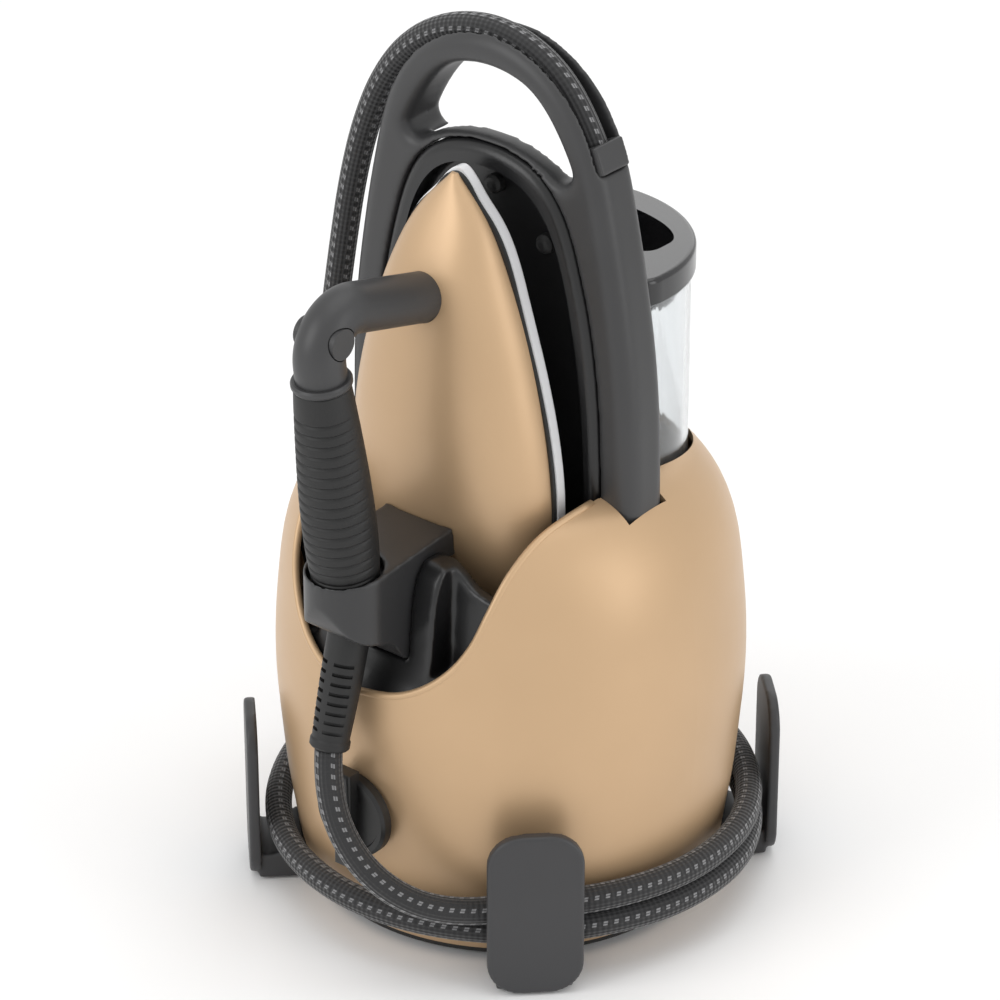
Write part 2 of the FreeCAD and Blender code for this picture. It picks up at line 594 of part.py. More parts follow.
# The corner where the neck's line and the grip's line meet.
det = out.y * -down.z + out.z * down.y
run = (across.y * down.z - across.z * down.y) / det
corner = neck_start + out * run
half_turn = out.getAngle(down) / 2
tangent = size("bend_r") * math.tan(half_turn)
bend_in, bend_out = corner - out * tangent, corner + down * tangent
inward = (down - out).normalize()
bend_centre = corner + inward * (size("bend_r") / math.cos(half_turn))
bend_mid = bend_centre - inward * size("bend_r")


def neck_path(start, end):
    return Part.Wire([Part.LineSegment(start, bend_in).toShape(), Part.Arc(bend_in, bend_mid, bend_out).toShape(),
                      Part.LineSegment(bend_out, end).toShape()])


NECK_R = size("neck_r")
up = X.cross(out) * -1
neck_frame = frame_at(neck_start, up, out)
neck_outer = pipe(neck_path(neck_start, grip_top), NECK_R)
neck_bore = pipe(neck_path(neck_start - out, grip_top + down * 1.0), 8.6)
neck = neck_outer.cut(neck_bore)


def in_neck(shape):
    """A shape drawn in the neck's frame: X across, Y up, Z out along the neck."""
    shape = shape.copy()
    shape.Placement = neck_frame.multiply(shape.Placement)
    return shape


slot = in_neck(Part.makeBox(19.2, 12.0, 52.0, V(-9.6, -14, 2)))
hub_spot = bend_centre + (V(0, -128.7, 325.6) - bend_centre).normalize() * size("bend_r")
HUB_R, HUB_OUT = 7.2, 11.6
neck = neck.cut(slot).cut(Part.makeCylinder(HUB_R + 0.5, 20, hub_spot + X * 6.0, X)).cut(
    Part.makeCylinder(HUB_R + 0.5, 20, hub_spot - X * 26.0, X))

neck_slot = in_neck(Part.makeBox(19.2, 12.0, 63.0, V(-9.6, -14, 2)))
neck = neck.cut(neck_slot)
neck = max(neck.Solids, key=lambda s: s.Volume)
shell = shell.cut(pipe(neck_path(neck_start, grip_top), NECK_R + 0.05))
shell = max(shell.Solids, key=lambda s: s.Volume)
keep("iron_shell", solid("shell", shell))
keep("iron_neck", solid("neck", neck))

# Trigger: the lower third of the neck, hinged on two round hubs at the bend.
trigger = in_neck(Part.makeBox(18.4, 5.4, 60.0, V(-9.2, -12, 3))).common(
    pipe(neck_path(neck_start, grip_top), NECK_R - 0.2))
for side in (-1, 1):
    hub = Part.makeCylinder(HUB_R, HUB_OUT - 6.9, hub_spot + X * (side * 6.9), X * side)
    trigger = trigger.fuse(hub)
trigger = trigger.cut(pipe(neck_path(neck_start, grip_top), 3.6)).removeSplitter()
trigger = max(trigger.Solids, key=lambda s: s.Volume)
keep("steam_trigger", solid("trigger", trigger))
spring_ring = Part.makeTorus(4.6, 0.6, hub_spot + X * 5.6, X)
keep("trigger_spring", solid("spring", spring_ring))
switch = in_neck(Part.makeBox(6.0, 4.2, 14.0, V(-3, 3.0, 20)))
keep("micro_switch", solid("switch", switch))

# Grip: a rigid core, a rubber sleeve that swells towards the heel, and a collar at its top.
GRIP_FOOT = {"y": "grip_y + grip_len * sin(grip_lean * 1 deg)", "z": "grip_z - grip_len * cos(grip_lean * 1 deg)"}
GRIP_TURN = (X, size("grip_lean"))
SLEEVE = [(15.4, 0), (16.5, 14), (16.9, 32), (16.4, 52), (15.2, 74), (13.7, 95), (12.9, 104)]
sleeve = Part.Face(spline_wire([V(r, 0, z) for r, z in SLEEVE], V(10.6, 0, 104), V(10.6, 0, 0))).revolve(V(0, 0, 0), Z, 360)
keep("grip_sleeve", place(solid("sleeve", sleeve), 0, GRIP_FOOT["y"], GRIP_FOOT["z"], GRIP_TURN))
keep("grip_core", turned("core", [("3.2", "-7"), ("10.4", "-7"), ("10.4", "grip_len - 0.2"), ("3.2", "grip_len - 0.2")],
                         0, GRIP_FOOT["y"], GRIP_FOOT["z"], GRIP_TURN))
keep("grip_collar", turned("collar_ring", [("neck_r + 0.1", "grip_len + 0.1"), ("13.2", "grip_len + 0.1"),
                                           ("13.9", "grip_len + 1.2"), ("13.9", "grip_len + 2.8"),
                                           ("13.2", "grip_len + 3.9"), ("neck_r + 0.1", "grip_len + 3.9")],
                           0, GRIP_FOOT["y"], GRIP_FOOT["z"], GRIP_TURN))
steam_line = pipe(neck_path(neck_start + out * 6, grip_top + down * (size("grip_len") + 4)), 2.4)
keep("iron_steam_line", solid("line", steam_line))

# Heel bracket: joins the grip's foot to the iron's heel and stands on the saddle's hump.
BRACKET_HALF = 20.0


# Underside of the bracket (y, z), from under the grip, round the relief, to the iron's heel.
UNDERSIDE = [(-137, 201), (-134, 189), (-127, 177), (-116, 172), (-106, 167.5), (-101, 160.5), (-96, 156.8),
             (-89.5, 160), (-86, 171), (-82.5, 184), (-75, 193.5), (-60, 197.5)]


def bracket_solid(grow):
    under = [V(0, y, z) for y, z in inset(UNDERSIDE, -grow)]
    wire = spline_wire(under, V(0, -45, 198 - grow), V(0, -45, 213 + grow), V(0, -64, 211.8 + grow),
                       V(0, -137 - grow, 204.5 + grow))
    side = Part.Face(wire).extrude(V(80, 0, 0))
    side.translate(V(-40, 0, 0))
    half = BRACKET_HALF + grow
    plan = Part.makeCylinder(half, 120, V(0, -115, 120)).fuse(Part.makeBox(2 * half, 80, 120, V(-half, -115, 120)))
    return side.common(plan)


grip_foot_spot = grip_top + down * size("grip_len")
relief_way = V(0, -math.sin(math.radians(size("relief_lean"))), -math.cos(math.radians(size("relief_lean"))))
relief_top = V(0, -114, 174)
bracket = bracket_solid(0)
bracket = bracket.cut(Part.makeCylinder(17.4, 40, grip_foot_spot + down * 0.3, down * -1))
bracket = bracket.cut(Part.makeCylinder(10.6, 9, grip_foot_spot + down * 8, down * -1))
bracket = bracket.cut(Part.makeCylinder(10.1, 70, relief_top - relief_way * 8, relief_way))
bracket = bracket.cut(outer_shell).cut(Part.makeCylinder(2.6, 12, grip_foot_spot + down * 6.5, down))
bracket = max(bracket.Solids, key=lambda s: s.Volume)
keep("heel_bracket", solid("bracket", bracket))
saddle = saddle.cut(bracket_solid(size("gap")))
saddle = max(saddle.Solids, key=lambda s: s.Volume)
keep("heel_saddle", solid("saddle_shape", saddle))

# Strain relief: a slotted sleeve that the hose leaves the bracket through.
RELIEF = [(8.6, 0), (9.4, 0.9), (9.4, 3.8), (8.8, 4.8), (9.3, 16), (9.8, 34), (9.9, 52), (9.9, 65.5)]
relief = Part.makePolygon([V(r, 0, z) for r, z in RELIEF] + [V(0, 0, 65.5), V(0, 0, 0), V(8.6, 0, 0)])
relief = Part.Face(relief).revolve(V(0, 0, 0), Z, 360)
for i in range(8):
    for angle in (-50, -130):
        slit = Part.makeBox(4, 9.4, 1.7, V(7.4, -4.7, 8.2 + 4.7 * i))
        slit.rotate(V(0, 0, 0), Z, angle)
        relief = relief.cut(slit)
relief_foot = relief_top + relief_way * size("relief_len")
keep("strain_relief", place(solid("relief", relief), 0, "-114 - relief_len * sin(relief_lean * 1 deg)",
                            "174 - relief_len * cos(relief_lean * 1 deg)", (X, -size("relief_lean"))))
keep("thermal_fuse", group("fuses", *[cylinder("fuse_%d" % i, 5, 6, 18 * side, CHAMBER - 1.8, 250, (X, 90))
                                      for i, side in enumerate((-1, 1))]))

# ---------------------------------------------------------------- hose collar, saddle of the arch
collar = collar.cut(bent_tube(OVER_ARCH[:4], size("hose_d") / 2 + 0.02)[0]).cut(bent_tube(STEAM_RISE[4:], 3.6)[0])
collar = max(collar.Solids, key=lambda s: s.Volume)
keep("hose_collar", solid("collar", collar))

# ---------------------------------------------------------------- the tank
TANK = (size("tank_half"), size("tank_front"), size("tank_back"), 12)
FLOOR, LID_LOW, LID_TOP = size("tank_floor"), size("lid_low"), size("lid_top")
tank = d_shape(*TANK, FLOOR, LID_LOW - 0.3).cut(d_shape(*TANK, FLOOR + 2.6, LID_LOW + 5, -2.6))
tank = tank.cut(Part.makeCylinder(6.4, 10, V(0, 46, FLOOR - 4)))
keep("water_tank", solid("tank", tank))
keep("tank_valve", turned("valve", [("0", "-7"), ("4", "-7"), ("6.2", "-3"), ("6.2", "3.4"), ("9", "3.4"), ("9", "6"), ("0", "6")],
                          0, 46, "tank_floor"))
seat = d_shape(*TANK, 106, 124, 1.9).cut(d_shape(*TANK, 108.6, 130, 0.7)).cut(Part.makeCylinder(7.0, 10, V(0, 46, 103)))
keep("tank_seat", solid("seat", seat))
BOWL = (49.0, 38.0, 75.0, 9)
band = d_shape(*TANK, LID_LOW, LID_TOP, 1.9)
band = band.makeFillet(2.4, [e for e in band.Edges if abs(e.CenterOfMass.z - LID_TOP) < 1e-6])
bowl = d_shape(*BOWL, 288, LID_LOW + 2, 1.8)
bowl = bowl.makeFillet(6, [e for e in bowl.Edges if abs(e.CenterOfMass.z - 288) < 1e-6])
hollow = d_shape(*BOWL, 290, 340)
hollow = hollow.makeFillet(6, [e for e in hollow.Edges if abs(e.CenterOfMass.z - 290) < 1e-6])
plug = d_shape(*TANK, LID_LOW - 4, LID_LOW, -3.0).cut(d_shape(*TANK, LID_LOW - 5, LID_LOW + 1, -5.0))
lid = band.fuse(bowl).fuse(plug).cut(hollow).removeSplitter()
keep("tank_lid", solid("lid", lid))

# ---------------------------------------------------------------- boiler, pump and what joins them
vessel = turned("vessel", [
    ("0", "boiler_low"), ("boiler_r - 6", "boiler_low"), ("boiler_r", "boiler_low + 6"), ("boiler_r", "boiler_top - 6"),
    ("boiler_r - 6", "boiler_top"), ("14", "boiler_top"), ("14", "boiler_top - 2.5"), ("boiler_r - 7", "boiler_top - 2.5"),
    ("boiler_r - 2.5", "boiler_top - 7"), ("boiler_r - 2.5", "boiler_low + 7"), ("boiler_r - 7", "boiler_low + 2.5"),
    ("0", "boiler_low + 2.5")], 0, "boiler_y", 0)
inlet_boss = cylinder("inlet_boss", 6, 9, -13, 15.4, 46, (X, -90))
keep("boiler_vessel", fuse("vessel_with_boss", vessel, inlet_boss))
keep("water_tube", cylinder("feed", 3.5, 18.0, -13, 24.6, 46, (X, -90)))
keep("heating_element", torus("element", "boiler_r - 18", 4.2, 0, "boiler_y", "boiler_low + 8"))
legs = [box("boiler_leg_%d" % i, 10, 10, "boiler_low - 6.5", "%g" % (34 * dx - 5), "boiler_y + %g" % (34 * dy - 5), 6.5)
        for i, (dx, dy) in enumerate(((1, 0), (-1, 0), (0, 1), (0, -1)))]
keep("boiler_feet", group("boiler_leg_set", *legs))
keep("boiler_lid", turned("boiler_cover", [("0", "boiler_top - 3"), ("13.8", "boiler_top - 3"), ("13.8", "boiler_top + 0.1"),
                                           ("22", "boiler_top + 0.1"), ("22", "boiler_top + 3.5"), ("0", "boiler_top + 3.5")],
                          0, "boiler_y", 0))
lid_screws = [turned("lid_screw_%d" % i, [("0", "0"), ("3", "0"), ("3", "2.4"), ("0", "2.4")],
                     17.5 * math.cos(i * math.pi / 2), "boiler_y + %g" % (17.5 * math.sin(i * math.pi / 2)), "boiler_top + 3.6")
              for i in range(4)]
keep("boiler_screws", group("lid_screw_set", *lid_screws))
keep("safety_valve", turned("relief_valve", [("0", "0"), ("6", "0"), ("6", "7"), ("8", "7"), ("8", "13"), ("3", "17"), ("0", "17")],
                            0, "boiler_y", "boiler_top + 3.7"))
coil = cylinder("valve_coil", 9, 17, 33, "boiler_y + 6", "boiler_top + 8.4")
block = box("valve_block", 16, 16, 8, 25, "boiler_y - 2", "boiler_top + 0.3")
keep("steam_valve", fuse("valve_body", coil, block))
keep("pressure_switch", turned("pressure", [("0", "0"), ("5", "0"), ("5", "6"), ("10", "6"), ("10", "15"), ("0", "15")],
                               -32, "boiler_y", "boiler_top + 0.2"))
keep("boiler_thermostat", cylinder("thermostat", 7, 4.5, "boiler_r + 0.2", "boiler_y", 62, (Y, 90)))
neck_turn = (X, 90)
keep("drain_neck", turned("drain_pipe", [("7", "0.2"), ("10", "0.2"), ("10", "27.5"), ("7", "27.5")],
                          0, "boiler_y - boiler_r", "cap_z", neck_turn))
keep("drain_seal", turned("seal", [("7.2", "27.7"), ("10", "27.7"), ("10", "29.2"), ("7.2", "29.2")],
                          0, "boiler_y - boiler_r", "cap_z", neck_turn))
cap = turned("cap_disc", [("0", "0"), ("cap_r", "0"), ("cap_r", "4.2"), ("cap_r - 1.4", "5.6"), ("cap_r - 4", "5.6"),
                          ("cap_r - 4.6", "4.6"), ("0", "4.6")], 0, "cap_y", "cap_z", neck_turn)
bar = box("cap_bar", 10, 7.6, 50, -5, "cap_y - 11.4", "cap_z - 25")
bar = rounded("cap_grip", bar, 1.6, lambda e: e.CenterOfMass.y < size("cap_y") - 8)
keep("drain_cap", fuse("cap", cap, bar))
keep("drain_stem", turned("stem", [("0", "0"), ("6.6", "0"), ("6.6", "16"), ("5", "18"), ("0", "18")],
                          0, "cap_y + 18.1", "cap_z", neck_turn))
motor = cylinder("pump_motor", 16, 44, -66, 56, 40, (Y, 90))
head = box("pump_head", 18, 26, 30, -22, 43, 25)
keep("water_pump", fuse("pump", motor, head))
mounts = [box("pump_mount_%d" % i, 8, 24, 13, px, 44, 6.6) for i, px in enumerate((-58, -36))]
keep("pump_mounts", group("pump_mount_set", *[cut("mount_%d" % i, m, cylinder("mount_cut_%d" % i, 16.1, 60, -70, 56, 40, (Y, 90)))
                                              for i, m in enumerate(mounts)]))
board = box("board_plate", 58, 1.6, 48, 14, 50, 16)
relay = box("relay", 16, 10, 18, 22, 51.6, 24)
choke = cylinder("choke", 8, 12, 56, 51.6, 40, (X, -90))
keep("control_board", fuse("board", board, relay, choke))
POWER = [(0, 101), (8.7, 101), (8.7, 110.6), (7.6, 111.6), (0, 111.6)]
GLAND = [(0, 96), (12, 96), (12, 101), (7.7, 101), (7.7, 110.5), (10.5, 110.5), (9.5, 114), (0, 114)]
REAR = {"power_button": (POWER, SWITCH_WAY), "mains_inlet": (GLAND, INLET_WAY)}
for label, (outline, way) in REAR.items():
    wire = Part.makePolygon([V(r, 0, z) for r, z in outline] + [V(0, 0, outline[0][1])])
    piece = Part.Face(wire).revolve(V(0, 0, 0), Z, 360)
    piece.Placement = FreeCAD.Placement(Z * REAR_Z, FreeCAD.Rotation(Z, way))
    keep(label, solid(label + "_shape", piece))


INNER_TUBES = {
    "suction_tube": (4.5, [(0, 46, 105.8), (0, 47, 92), (-6, 56, 78), (-14, 60, 66), (-14, 60, 55.3)]),
    "steam_tube": (3.5, STEAM_RISE),
}
for label, (radius, spots) in INNER_TUBES.items():
    shape, length, tightest = bent_tube(spots, radius)
    print("%-14s length %.0f, tightest bend %.0f, valid %s" % (label, length, tightest, shape.isValid()))
    keep(label, solid(label + "_shape", shape))


# ---------------------------------------------------------------- the steam hose
# Out of the collar, over the arch, down behind its left side, twice round the base and up to the iron.
LOW_Z, HIGH_Z = size("low_z"), size("high_z")


def on_ring(angle, radius, height):
    return (radius * math.cos(math.radians(angle)), radius * math.sin(math.radians(angle)), height)


DOWN = [on_ring(175, 122, 119), on_ring(169, 126, 90), on_ring(161, 125.5, 65), on_ring(152.5, 119.6, 44.5),
        on_ring(140, 114.8, 31.5)]
LOWER_TURN = [on_ring(a, r, LOW_Z) for a, r in ((118, 115), (98, 115), (78, 115.5), (58, 116), (36, 117.5), (14, 121),
                                                (-8, 119.5), (-28, 116.2), (-48, 115), (-68, 115), (-88, 115),
                                                (-108, 114.5))]
CHANGE = [on_ring(-127, 114.5, 28.2), on_ring(-147, 114.3, 31), on_ring(-168, 114.2, 34.5), on_ring(-189, 114.2, 38)]
UPPER_TURN = [on_ring(a, r, HIGH_Z) for a, r in ((-210, 114.5), (-232, 114.5), (-254, 115), (-276, 115.2), (-298, 115.7),
                                                 (-320, 116.7), (-342, 119.5), (-364, 118.5), (-386, 115.8),
                                                 (-408, 114.8))]
TO_IRON = [(57, -107, 40.2), (40.5, -122.5, 47), (24.5, -133, 61.5), (11, -136.8, 81.5), (2.4, -134.2, 103.5)]
HOSE_END = tuple(relief_foot + relief_way * 1.3)
ROUTE = OVER_ARCH + DOWN + LOWER_TURN + CHANGE + UPPER_TURN + TO_IRON + [HOSE_END]
hose, hose_length, hose_bend = bent_tube(ROUTE, size("hose_d") / 2)
section = math.pi * (size("hose_d") / 2) ** 2
print("steam_hose length %.0f, tightest bend %.0f, volume ratio %.4f" % (
    hose_length, hose_bend, hose.Volume / (section * hose_length)))
keep("steam_hose", solid("hose", hose))

# ---------------------------------------------------------------- checks and files
doc.recompute()
failed = [obj.Name for obj in doc.Objects if "Invalid" in obj.State or "Error" in obj.State]
for label, obj in NODES.items():
    if obj.Shape.isNull() or not obj.Shape.isValid() or not obj.Shape.Solids:
        failed.append(label)
if failed:
    raise RuntimeError("failed: " + ", ".join(failed))
os.makedirs("parts", exist_ok=True)
for label, obj in NODES.items():
    obj.Shape.exportStep("parts/%s.step" % label)
print("%d nodes" % len(NODES))
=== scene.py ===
"""Looks of the steam generator iron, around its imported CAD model.

Lengths are in metres in the part's frame: +Z up, the iron on the -Y side, the tank on the +Y side.
"""
import json
import math

import bmesh
import bpy
from mathutils import Matrix, Vector

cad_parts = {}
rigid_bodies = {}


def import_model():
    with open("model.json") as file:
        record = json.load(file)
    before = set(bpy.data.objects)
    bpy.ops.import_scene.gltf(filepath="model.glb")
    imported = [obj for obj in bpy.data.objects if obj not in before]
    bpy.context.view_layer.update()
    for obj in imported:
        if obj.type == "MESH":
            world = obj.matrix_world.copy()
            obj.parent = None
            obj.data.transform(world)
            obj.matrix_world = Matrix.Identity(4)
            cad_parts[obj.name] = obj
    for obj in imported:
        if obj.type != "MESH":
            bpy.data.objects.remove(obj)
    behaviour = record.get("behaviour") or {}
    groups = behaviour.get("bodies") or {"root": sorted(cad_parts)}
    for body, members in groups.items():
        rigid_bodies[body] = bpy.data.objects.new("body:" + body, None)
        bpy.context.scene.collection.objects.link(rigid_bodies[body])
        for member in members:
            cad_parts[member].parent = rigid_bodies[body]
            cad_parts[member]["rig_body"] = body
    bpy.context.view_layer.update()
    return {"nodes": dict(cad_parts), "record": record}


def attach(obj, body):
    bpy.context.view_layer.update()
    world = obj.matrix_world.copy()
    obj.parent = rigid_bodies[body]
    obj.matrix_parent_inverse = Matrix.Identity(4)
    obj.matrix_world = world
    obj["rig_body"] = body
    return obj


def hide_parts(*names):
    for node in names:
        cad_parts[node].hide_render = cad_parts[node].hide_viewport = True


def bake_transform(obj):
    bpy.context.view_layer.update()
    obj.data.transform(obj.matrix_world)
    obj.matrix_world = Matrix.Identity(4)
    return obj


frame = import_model()
NODES = frame["nodes"]

MM = 0.001
AXIS_Y = 15.2 * MM          # the base's vertical axis


def mm(x, y, z):
    """A point given in millimetres from the base's axis, in the part's frame."""
    return Vector((x * MM, y * MM + AXIS_Y, z * MM))


# ---------------------------------------------------------------- camera
TURN, TILT = math.radians(39.89), math.radians(28.0)
DISTANCE, SENSOR, LENS = 2.0904, 36.0, 160.6
back = Vector((math.sin(TURN) * math.cos(TILT), -math.cos(TURN) * math.cos(TILT), math.sin(TILT)))
target = mm(-5.21 * math.cos(TURN), -5.21 * math.sin(TURN), 192.84)
camera_data = bpy.data.cameras.new("camera")
camera_data.sensor_width = SENSOR
camera_data.lens = LENS
camera = bpy.data.objects.new("camera", camera_data)
camera.location = target + back * DISTANCE
camera.rotation_euler = back.to_track_quat("Z", "Y").to_euler()
bpy.context.scene.collection.objects.link(camera)
bpy.context.scene.camera = camera


# ---------------------------------------------------------------- materials
def shader(name):
    """A new node material: (material, tree, principled shader)."""
    material = bpy.data.materials.new(name)
    material.use_nodes = True
    tree = material.node_tree
    return material, tree, tree.nodes["Principled BSDF"]


def add(tree, kind, **inputs):
    """A node with some of its inputs set by name, with _ for a space."""
    node = tree.nodes.new(kind)
    for key, value in inputs.items():
        node.inputs[key.replace("_", " ")].default_value = value
    return node


def object_space(tree, scale=1.0):
    coords = tree.nodes.new("ShaderNodeTexCoord")
    mapping = tree.nodes.new("ShaderNodeMapping")
    mapping.inputs["Scale"].default_value = (scale, scale, scale)
    tree.links.new(coords.outputs["Object"], mapping.inputs["Vector"])
    return mapping.outputs["Vector"]


def grain(tree, bsdf, scale, height, detail=2.0, roughness=(0.0, 0.0)):
    """Fine surface texture: a bump from noise, and a little variation of roughness."""
    noise = add(tree, "ShaderNodeTexNoise", Scale=scale, Detail=detail)
    tree.links.new(object_space(tree), noise.inputs["Vector"])
    bump = add(tree, "ShaderNodeBump", Strength=0.5, Distance=height)
    tree.links.new(noise.outputs["Fac"], bump.inputs["Height"])
    tree.links.new(bump.outputs["Normal"], bsdf.inputs["Normal"])
    if roughness[1] > roughness[0]:
        spread = tree.nodes.new("ShaderNodeMapRange")
        spread.inputs["To Min"].default_value = roughness[0]
        spread.inputs["To Max"].default_value = roughness[1]
        broad = add(tree, "ShaderNodeTexNoise", Scale=scale / 40.0, Detail=3.0)
        tree.links.new(object_space(tree), broad.inputs["Vector"])
        tree.links.new(broad.outputs["Fac"], spread.inputs["Value"])
        tree.links.new(spread.outputs["Result"], bsdf.inputs["Roughness"])
    return bump


def two_tone(tree, bsdf, scale, first, second):
    """Base colour that drifts softly between two close colours."""
    noise = add(tree, "ShaderNodeTexNoise", Scale=scale, Detail=3.0)
    tree.links.new(object_space(tree), noise.inputs["Vector"])
    ramp = tree.nodes.new("ShaderNodeValToRGB")
    ramp.color_ramp.elements[0].position = 0.35
    ramp.color_ramp.elements[0].color = (*first, 1)
    ramp.color_ramp.elements[1].position = 0.65
    ramp.color_ramp.elements[1].color = (*second, 1)
    tree.links.new(noise.outputs["Fac"], ramp.inputs["Fac"])
    tree.links.new(ramp.outputs["Color"], bsdf.inputs["Base Color"])


def gold_lacquer():
    material, tree, bsdf = shader("gold_lacquer")
    two_tone(tree, bsdf, 9.0, (0.535, 0.36, 0.205), (0.57, 0.385, 0.222))
    bsdf.inputs["Metallic"].default_value = 0.45
    grain(tree, bsdf, 2600.0, 0.00002, roughness=(0.42, 0.5))
    bsdf.inputs["Coat Weight"].default_value = 0.25
    bsdf.inputs["Coat Roughness"].default_value = 0.3
    return material


def moulded(name, colour, low, high, texture=900.0, height=0.00004, coat=0.0):
    """Moulded plastic or rubber with a fine grain."""
    material, tree, bsdf = shader(name)
    two_tone(tree, bsdf, 14.0, tuple(c * 0.92 for c in colour), tuple(c * 1.08 for c in colour))
    grain(tree, bsdf, texture, height, roughness=(low, high))
    bsdf.inputs["Coat Weight"].default_value = coat
    bsdf.inputs["Coat Roughness"].default_value = 0.15
    return material


def metal(name, colour, low, high, texture=1500.0, height=0.00001, metallic=1.0):
    material, tree, bsdf = shader(name)
    two_tone(tree, bsdf, 20.0, tuple(c * 0.96 for c in colour), colour)
    grain(tree, bsdf, texture, height, roughness=(low, high))
    bsdf.inputs["Metallic"].default_value = metallic
    return material


def clear_plastic(name, colour, rough, weight):
    material, tree, bsdf = shader(name)
    two_tone(tree, bsdf, 10.0, tuple(c * 0.985 for c in colour), colour)
    grain(tree, bsdf, 300.0, 0.00001, roughness=(rough, rough + 0.06))
    bsdf.inputs["Transmission Weight"].default_value = weight
    bsdf.inputs["IOR"].default_value = 1.46
    return material


GOLD = gold_lacquer()
ARCH_GREY = moulded("arch_grey", (0.036, 0.036, 0.037), 0.38, 0.46)
PANEL_BLACK = moulded("panel_black", (0.006, 0.006, 0.0065), 0.3, 0.38, coat=0.1)
HOOK_GREY = moulded("hook_grey", (0.034, 0.034, 0.036), 0.4, 0.48)
BLACK = moulded("black_plastic", (0.01, 0.01, 0.01), 0.36, 0.44)
BRACKET = moulded("bracket_grey", (0.026, 0.026, 0.027), 0.33, 0.4)
RUBBER = moulded("black_rubber", (0.008, 0.008, 0.008), 0.5, 0.6, texture=1400.0, height=0.00006)
BUTTON = moulded("button_grey", (0.16, 0.16, 0.165), 0.3, 0.36)
LID_BLACK = moulded("lid_black", (0.012, 0.012, 0.013), 0.2, 0.28, coat=0.3)
CLEAR = clear_plastic("clear_tank", (0.93, 0.95, 0.96), 0.04, 0.95)
SOLE = metal("polished_sole", (0.9, 0.9, 0.91), 0.34, 0.42, metallic=0.35)
STEEL = metal("steel", (0.58, 0.58, 0.6), 0.28, 0.38)
BRASS = metal("brass", (0.68, 0.5, 0.24), 0.25, 0.35)
ALLOY = metal("cast_alloy", (0.55, 0.55, 0.57), 0.45, 0.55, texture=500.0, height=0.0001)
SILICONE = moulded("silicone_tube", (0.62, 0.6, 0.55), 0.4, 0.5)
BOARD = moulded("circuit_board", (0.02, 0.14, 0.06), 0.3, 0.4)

FINISHES = {
    "housing_gold": GOLD, "iron_gold": GOLD, "arch_grey": ARCH_GREY, "panel_black": PANEL_BLACK,
    "hook_grey": HOOK_GREY, "black_plastic": BLACK, "grip_rubber": RUBBER, "seal_rubber": RUBBER,
    "hose_braid": RUBBER, "tank_clear": CLEAR, "lid_black": LID_BLACK, "sole_metal": SOLE,
    "boiler_steel": STEEL, "brass": BRASS, "cast_alloy": ALLOY,
    "tube_silicone": SILICONE, "board_green": BOARD, "button_grey": BUTTON,
}
SLOT_OF = {part["node"]: part["material_slot"] for part in frame["record"]["subparts"]}


def paint(obj, material):
    obj.data.materials.clear()
    obj.data.materials.append(material)


for label, node in NODES.items():
    paint(node, FINISHES[SLOT_OF[label]])
paint(NODES["heel_bracket"], BRACKET)


# ---------------------------------------------------------------- mesh helpers
def new_object(name, mesh, material, body):
    obj = bpy.data.objects.new(name, mesh)
    bpy.context.scene.collection.objects.link(obj)
    paint(obj, material)
    for polygon in mesh.polygons:
        polygon.use_smooth = True
    if body:
        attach(obj, body)
    return obj


def centre_line(name, points, resolution):
    """Points along a quadratic NURBS line through control points."""
    data = bpy.data.curves.new(name, "CURVE")
    data.dimensions = "3D"
    data.resolution_u = resolution
    spline = data.splines.new("NURBS")
    spline.points.add(len(points) - 1)
    for knot, spot in zip(spline.points, points):
        knot.co = (*spot, 1.0)
    spline.order_u = 3
    spline.use_endpoint_u = True
    obj = bpy.data.objects.new(name, data)
    bpy.context.scene.collection.objects.link(obj)
    bpy.context.view_layer.update()
    graph = bpy.context.evaluated_depsgraph_get()
    mesh = bpy.data.meshes.new_from_object(obj.evaluated_get(graph))
    line = [vertex.co.copy() for vertex in mesh.vertices]
    bpy.data.objects.remove(obj)
    bpy.data.meshes.remove(mesh)
    return line


def tube(name, line, radius, sides, caps=True):
    """A round mesh tube along a line, with UVs: u round it in turns, v along it in metres."""
    work = bmesh.new()
    layer = work.loops.layers.uv.new("UVMap")
    tangents = [(b - a).normalized() for a, b in zip([line[0]] + line[:-1], line[1:] + [line[-1]])]
    tangents[0] = (line[1] - line[0]).normalized()
    tangents[-1] = (line[-1] - line[-2]).normalized()
    side = tangents[0].orthogonal().normalized()
    rings, reach = [], [0.0]
    for i, (spot, tangent) in enumerate(zip(line, tangents)):
        side = (side - tangent * side.dot(tangent)).normalized()
        other = tangent.cross(side)
        if i:
            reach.append(reach[-1] + (spot - line[i - 1]).length)
        ring = []
        for k in range(sides):
            turn = 2 * math.pi * k / sides
            ring.append(work.verts.new(spot + (side * math.cos(turn) + other * math.sin(turn)) * radius))
        rings.append(ring)
    for i in range(len(rings) - 1):
        for k in range(sides):
            face = work.faces.new((rings[i][k], rings[i][(k + 1) % sides], rings[i + 1][(k + 1) % sides],
                                   rings[i + 1][k]))
            spots = ((k, i), (k + 1, i), (k + 1, i + 1), (k, i + 1))
            for loop, (u, v) in zip(face.loops, spots):
                loop[layer].uv = (u / sides, reach[v])
    if caps:
        work.faces.new(reversed(rings[0]))
        work.faces.new(rings[-1])
    bmesh.ops.recalc_face_normals(work, faces=work.faces)
    mesh = bpy.data.meshes.new(name)
    work.to_mesh(mesh)
    work.free()
    return mesh


